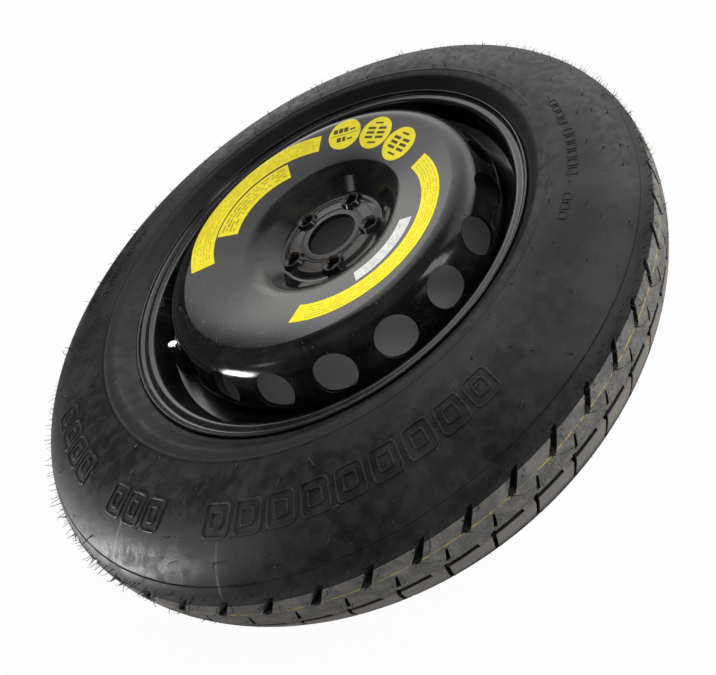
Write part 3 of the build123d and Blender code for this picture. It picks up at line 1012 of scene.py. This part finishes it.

# %% [markdown]
# ## Tyre rubber
# The sidewall is smooth and dark under a dusty bloom, with painted shade that makes it darkest beside
# the rim. The tread is paler and rough from the mould; its grooves, but for the ramps, are bare dark
# rubber with painted shade deep down; the middle rib is browner, and a thin yellow line that was
# painted on at the factory wanders round it. Depth below the crown tells the tread's top from its grooves.

# %% Find the tread, the grooves and the ramps
groove_depths, groove_radii = (4.5, 7.5), (366, 369)
ramp_depths = (6.8, 5.8)
rubber, shader, wheel = new_material("moulded_rubber", 0.20)
spot, angle = wheel["Spot"], wheel["Angle"]
radius, height = wheel["Radius"], wheel["Height"]
tall = maths("ABSOLUTE", height)
arc = maths("SQRT", minus(crown_arc**2, times(tall, tall)))
depth = minus(plus(arc, tyre_r - crown_arc), radius)
on_top = times(step_up(depth, 1.0, 0.4), step_up(tall, edge_z + 0.6, edge_z + 0.1))
in_groove = times(
    step_up(depth, *groove_depths),
    step_up(tall, edge_z + 3, edge_z),
    step_up(radius, *groove_radii),
)
past = times(maths("FRACT", maths("DIVIDE", minus(angle, first_slot), pitch)), pitch)
ramp_angles, ramp_heights = zip(*ramp[0])
on_ramp = times(
    between(past, pitch + min(ramp_angles), pitch + max(ramp_angles), 0.05),
    between(height, min(ramp_heights), max(ramp_heights), 0.2),
    step_up(depth, *ramp_depths),
)
print("masks: tread, grooves, ramps")

# %% Colour the sidewall and the tread
rib_edge = (10.5, 8.5)
rim_shade, rim_shade_share = (300, 280), 0.65
bloom = effect(mottle, spot, Scale=0.012, Low=0.36, High=0.70)
patches = effect(mottle, spot, Scale=0.09, Low=0.40, High=0.64)
dots = effect(specks, spot, Scale=0.12, Size=0.10, Share=0.22)
dusty = maths("MULTIPLY_ADD", bloom, 0.55, times(patches, 0.30))
dusty = most(dusty, times(dots, 0.8))
colour = blend(dusty, (0.0068, 0.0071, 0.0079, 1), (0.037, 0.0365, 0.0355, 1))
# Painted shade: from radius 300 mm in to 280 mm the sidewall colour is darkened towards near black, where
# the tyre bends in beside the rim.
rim_painted_shade = times(step_up(radius, *rim_shade), rim_shade_share)
colour = blend(rim_painted_shade, colour, (0.0045, 0.0047, 0.0052, 1))
scrapes = effect(scuffs, spot, Scale=0.05, Width=0.004)
colour = blend(times(scrapes, 0.45), colour, (0.085, 0.080, 0.075, 1))
tread = blend(patches, (0.140, 0.138, 0.134, 1), (0.235, 0.226, 0.210, 1))
rib = times(step_up(tall, *rib_edge), vary(bloom, 0.5, 1.0))
tread = blend(rib, tread, (0.320, 0.284, 0.250, 1))
colour = blend(most(on_top, on_ramp), colour, tread)
# Partly painted shade: deep in the grooves, but for the ramps, the colour goes to plain dark rubber, bare
# of the tread's pale dust and darkened as the grooves' shade.
groove_bare_and_shade = minus(in_groove, on_ramp, clamp=True)
colour = blend(groove_bare_and_shade, colour, (0.014, 0.0135, 0.013, 1))
print("colours: sidewall, tread, grooves")

# %% Add the yellow line and the streaks
line_z, line_drift = 39.0, 7.0
# Each pale streak: angle, low and high radius
streak_places = ((-128.5, 345, 374), (-147.0, 338, 366))
streak_half = 0.16
drift = times(minus(noise(wheel["Rings"], 0.03, 2.0), 0.5), line_drift)
off_line = maths("ABSOLUTE", minus(height, plus(drift, line_z)))
blobs = effect(mottle, spot, Scale=0.16, Low=0.40, High=0.58)
wide = maths("MULTIPLY_ADD", blobs, 0.6, 0.36)
line = times(step_up(off_line, wide, times(wide, 0.6)), on_top, vary(blobs, 0.30, 0.95))
colour = blend(line, colour, (0.55, 0.42, 0.07, 1))
streaks = 0.0
for middle, low, high in streak_places:
    across = between(angle, middle - streak_half, middle + streak_half, 0.10)
    streaks = plus(streaks, times(across, between(radius, low, high, 6.0)))
streaks = times(streaks, vary(patches, 0.35, 0.9))
colour = blend(streaks, colour, (0.16, 0.15, 0.14, 1))
print("streaks:", len(streak_places))

# %% Finish the rubber
rasped_band = (18.0, 38.0)
rough = maths("MULTIPLY_ADD", on_top, 0.22, vary(patches, 0.42, 0.60))
skin = effect(grain, spot, Scale=0.9)
studs = effect(grain, spot, Scale=0.55)
rasped = times(on_top, between(tall, *rasped_band, 0.6), studs)
dress(shader, colour, rough, maths("MULTIPLY_ADD", skin, 0.20, times(rasped, 1.5)), 0.8)
for piece in (tyre, marks, small_marks):
    piece.data.materials.append(rubber)
print("tyre rubber nodes:", len(rubber.node_tree.nodes))


# %% Make the hair rubber
def small_rubber(name, dark, pale, scale, smooth=0.42, pores=3.0, depth=0.04):
    """Plain moulded rubber in patches of two colours."""
    material, shader, wheel = new_material(name, 0.4)
    patches = effect(mottle, wheel["Spot"], Scale=scale, Low=0.3, High=0.7)
    skin = effect(grain, wheel["Spot"], Scale=pores)
    dress(shader, blend(patches, dark, pale), vary(patches, smooth, 0.6), skin, depth)
    return material


hair_dark, hair_pale = (0.010, 0.010, 0.010, 1), (0.022, 0.020, 0.018, 1)
hair_rubber = small_rubber("hair_rubber", hair_dark, hair_pale, 0.05, smooth=0.45, pores=2.0, depth=0.05)
mould_hairs.data.materials.append(hair_rubber)
print("hair rubber nodes:", len(hair_rubber.node_tree.nodes))

# %% [markdown]
# ## Gloss black paint
# Disc, rim and welds were dipped and sprayed together, so they share one skin: deep black, a faint
# ripple, dust and a few scuffs. A Bevel node rounds the light on pierced edges, as the paint does.
# On the hub the ball seats have rusted where bolts once rubbed, and the pad is duller.

# %% Make the disc paint
bolt_circle_r, bolt_angle, bolt_gap = 56.0, 31.4, 72.0
hub_radii, hub_heights = (82, 76), (38, 39)
seat_radii, pad_radii, bolt_clear = (8.6, 11.8), (43.5, 59.0), (15.0, 17.0)
edge_round = 1.4
scuff_grey = (0.25, 0.25, 0.24, 1)
disc_paint, shader, wheel = new_material("disc_gloss_black", 0.245)
angle, radius, height = wheel["Angle"], wheel["Radius"], wheel["Height"]
skin = place(paint_skin, Spot=wheel["Spot"], Rings=wheel["Rings"])
colour = blend(times(skin["Dust"], 0.5), (0.0042, 0.0042, 0.0045, 1), (0.20, 0.19, 0.17, 1))
colour = blend(times(skin["Scuff"], 0.20), colour, scuff_grey)
turns = maths("DIVIDE", minus(angle, bolt_angle), bolt_gap)
off = times(minus(turns, maths("ROUND", turns)), radians(bolt_gap))
bolt_x = minus(times(radius, maths("COSINE", off)), bolt_circle_r)
bolt_y = times(radius, maths("SINE", off))
from_bolt = distance(bolt_x, bolt_y)
on_hub = times(step_up(radius, *hub_radii), step_up(height, *hub_heights))
patches = effect(mottle, wheel["Spot"], Scale=0.25, Low=0.30, High=0.62)
seat = times(on_hub, between(from_bolt, *seat_radii, 0.5), vary(patches, 0.25, 1.0))
rust = blend(patches, (0.016, 0.010, 0.008, 1), (0.062, 0.031, 0.018, 1))
colour = blend(seat, colour, rust)
pad = times(between(radius, *pad_radii, 1.0), step_up(from_bolt, *bolt_clear), on_hub)
colour = blend(times(pad, vary(patches, 0.06, 0.16)), colour, (0.20, 0.18, 0.16, 1))
rough = vary(skin["Dust"], 0.11, 0.45)
rough = maths("MULTIPLY_ADD", seat, 0.35, rough)
rough = maths("MULTIPLY_ADD", pad, 0.10, rough)
edge = add_node(shader.id_data, "Bevel", {"Radius": edge_round * MM}, samples=4).outputs[0]
dress(shader, colour, rough, skin["Peel"], 0.012, edge)
wear("disc", disc_paint)
print("disc paint nodes:", len(disc_paint.node_tree.nodes))

# %% Make the rim and weld paint
rim_paint, shader, wheel = new_material("rim_gloss_black", 0.42)
skin = place(paint_skin, Spot=wheel["Spot"], Rings=wheel["Rings"])
colour = blend(times(skin["Dust"], 0.4), (0.0048, 0.0048, 0.0050, 1), (0.17, 0.16, 0.14, 1))
colour = blend(times(skin["Scuff"], 0.25), colour, scuff_grey)
dress(shader, colour, vary(skin["Dust"], 0.20, 0.5), skin["Peel"], 0.012)
rim.data.materials.append(rim_paint)
wear("rim", rim_paint)
weld_paint, shader, wheel = new_material("weld_gloss_black", 0.5)
skin = place(paint_skin, Spot=wheel["Spot"], Rings=wheel["Rings"])
beads = effect(grain, wheel["Spot"], Scale=0.4)
colour = blend(skin["Dust"], (0.006, 0.006, 0.006, 1), (0.10, 0.09, 0.08, 1))
dress(shader, colour, vary(beads, 0.2, 0.4), beads, 0.4)
wear("welds", weld_paint)
print("rim and weld paint made")

# %% [markdown]
# ## Printed labels
# The labels are thin printed film. Their print is shown as plain rows of dashes that follow each
# label's own arc, and as plain bars on the round ones. One group draws the rows from the distance
# across and along a label.

# %% Print rows
row_shift, row_lift = 37.7, 11.3
dashes_per_mm, dash_share = 0.45, 0.72


def print_parts(group, across, along, first, gap, rows, tall, share):
    turns = maths("DIVIDE", minus(across, first), gap)
    row = maths("FLOOR", turns)
    line = maths("LESS_THAN", maths("FRACT", turns), tall)
    used = times(maths("GREATER_THAN", row, -0.5), maths("LESS_THAN", row, rows))
    shifted = maths("MULTIPLY_ADD", row, row_shift, along)
    spot = add_node(group, "CombineXYZ", {0: shifted, 1: times(row, row_lift)}).outputs[0]
    run = maths("LESS_THAN", noise(spot, 0.16, 1.0), share)
    dash = maths("LESS_THAN", maths("FRACT", times(shifted, dashes_per_mm)), dash_share)
    return [times(line, used, run, dash)]


print_rows = new_group("print_rows", "Across Along First Gap Rows Tall Share", "Ink", print_parts)
YELLOW, WHITE = (0.95, 0.81, 0.016, 1), (0.74, 0.74, 0.72, 1)
INK, GREY_INK = (0.035, 0.030, 0.012, 1), (0.16, 0.16, 0.17, 1)


# %% Label film
def label_film(name, ground, ink_colour, strength, draw):
    """A film of one ground colour with ink where draw says, a little dust and a satin face."""
    material, shader, wheel = new_material(name, 0.15)
    ink = draw(wheel)
    haze = effect(mottle, wheel["Spot"], Scale=0.03, Low=0.35, High=0.75)
    dots = effect(specks, wheel["Spot"], Scale=0.25, Size=0.12, Share=0.12)
    worn = tuple(v * 0.90 for v in ground[:3]) + (1,)
    colour = blend(haze, ground, worn)
    colour = blend(times(dots, 0.35), colour, (0.10, 0.09, 0.07, 1))
    colour = blend(times(ink, strength), colour, ink_colour)
    ripple = noise(wheel["Spot"], 0.12, 2.0, 0.4)
    dress(shader, colour, vary(haze, 0.42, 0.55), ripple, 0.03)
    return material


print("label film ready")


# %% Print the arched labels
def arc_print(centre, high_r, tall, start, end, rows):
    """Ink in rows along an arc.

    Each entry of rows: first distance, gap, count, line share, dash share, bare angle at either end.
    """

    def draw(wheel):
        x, y, _ = split(wheel["Spot"])
        x = minus(x, centre[0])
        y = minus(y, centre[1])
        around = times(maths("ARCTAN2", y, x), 180 / pi)
        across = minus(high_r, distance(x, y))
        along = times(around, radians(high_r - tall / 2))
        ink = 0.0
        for first, gap, count, line, share, low, high in rows:
            drawn = place(
                print_rows, Across=across, Along=along, First=first, Gap=gap,
                Rows=count - 0.5, Tall=line, Share=share,
            )["Ink"]
            drawn = times(drawn, between(around, start + low, end - high, 0.15))
            ink = most(ink, drawn)
        return ink

    return draw


# Each arched label: middle of its arc, outer radius, height, first and last angle, rows of print
arcs = {
    "label_outer": ((-16.4, 44.7), 143.54, 27.9, 47.0, 172.0, [(3.2, 3.7, 6, 0.36, 0.56, 3, 6)]),
    "label_inner": ((-18.3, 44.4), 112.54, 27.2, 71.0, 147.5, [(4.4, 4.8, 4, 0.46, 0.55, 3, 4)]),
    "label_right": ((11.2, -30.5), 135.74, 23.8, -138.0, -3.8, [(3.2, 3.7, 5, 0.36, 0.56, 7, 3)]),
    "label_strip": (
        (8.0, -30.0), 107.04, 17.0, -101.0, -50.0,
        [(3.0, 4.0, 2, 0.45, 0.50, 4, 14), (11.0, 3.2, 1, 0.6, 0.46, 2, 2)],
    ),
}
films = {
    "label_outer": (YELLOW, INK, 0.5),
    "label_inner": (YELLOW, INK, 0.7),
    "label_right": (YELLOW, INK, 0.5),
    "label_strip": (WHITE, GREY_INK, 0.7),
}
for node, arc in arcs.items():
    wear(node, label_film(node + "_film", *films[node], arc_print(*arc)))
print("arched labels:", ", ".join(arcs))


# %% Print the round labels
def bars_print(reach, turn, bars):
    """Ink as plain bars on a round label, each with left, right, low and high edge."""

    def draw(wheel):
        x, y, _ = split(wheel["Spot"])
        c, s = cos(radians(turn)), sin(radians(turn))
        out = minus(plus(times(x, c), times(y, s)), reach)
        along = minus(times(x, s), times(y, c))
        ink = 0.0
        for left, right, low, high in bars:
            bar = times(between(along, left, right, 0.2), between(out, low, high, 0.2))
            ink = most(ink, bar)
        return ink

    return draw


def bar_stack(left, right):
    """Three thick bars, one above the other."""
    return [(left, right, low, low + 4.2) for low in (-9.5, -2.1, 5.3)]


mixed_bars = [(-19, -12, 3.5, 11.5), (-10.5, -3.5, 3.5, 11.5), (-2, 5, 3.5, 11.5), (8, 17, 4.5, 7.5)]
mixed_bars += [(-22.5, 22.5, -0.8, 0.2), (-12, -5, -12.5, -4.5), (-3, 2, -12.5, -4.5), (5, 13, -11.5, -8.5)]
stacked_bars = bar_stack(-16, -2.5) + bar_stack(2.5, 16)
stacked_bars += [(-7, 7, 14.5, 17.5), (-7, 7, -17.5, -14.5)]
# Each round label: distance and angle of its middle, and its bars
round_labels = {
    "roundel_1": (157.94, 48.1, mixed_bars),
    "roundel_2": (151.64, 28.0, stacked_bars),
    "roundel_3": (140.74, 7.1, stacked_bars),
}
for node, (reach, turn, bars) in round_labels.items():
    wear(node, label_film(node + "_film", YELLOW, INK, 0.95, bars_print(reach, turn, bars)))
print("round labels:", ", ".join(round_labels))

# %% [markdown]
# ## Valve and hidden pieces
# The valve is a rubber stem with a brass tube and core and a bright turned cap. The bead wires and
# most of the valve core are out of sight, but someone may take the part to pieces, so each gets
# its own finish: drawn wire, turned brass, moulded rubber.


# %% Make the valve materials
def small_metal(name, clean, dull, smooth, scale):
    material, shader, wheel = new_material(name, 0.5, 1.0)
    tarnish = effect(mottle, wheel["Spot"], Scale=scale, Low=0.4, High=0.75)
    lines = noise(wheel["Rings"], 4.0, 1.0)
    colour = blend(tarnish, clean, dull)
    dress(shader, colour, vary(tarnish, smooth, smooth + 0.2), lines, 0.01)
    return material


stem = small_rubber("stem_rubber", (0.010, 0.010, 0.010, 1), (0.026, 0.024, 0.022, 1), 0.25)
seal = small_rubber("seal_rubber", (0.16, 0.030, 0.022, 1), (0.26, 0.06, 0.04, 1), 0.5)
brass = small_metal("turned_brass", (0.72, 0.53, 0.26, 1), (0.42, 0.30, 0.15, 1), 0.22, 0.3)
steel = small_metal("drawn_steel", (0.55, 0.53, 0.50, 1), (0.30, 0.27, 0.24, 1), 0.30, 0.2)
bright = small_metal("bright_cap", (0.74, 0.75, 0.76, 1), (0.40, 0.40, 0.39, 1), 0.16, 0.25)
for names, material in (
    (("valve_stem",), stem),
    (("core_seal", "pin_seal", "cap_seal"), seal),
    (("valve_tube", "core_body", "core_pin"), brass),
    (("core_spring", "bead_wire_out", "bead_wire_in"), steel),
    (("cap",), bright),
    (("tyre",), rubber),
):
    for name in names:
        wear(name, material)
spring.data.materials.append(steel)
print("valve and hidden pieces dressed")
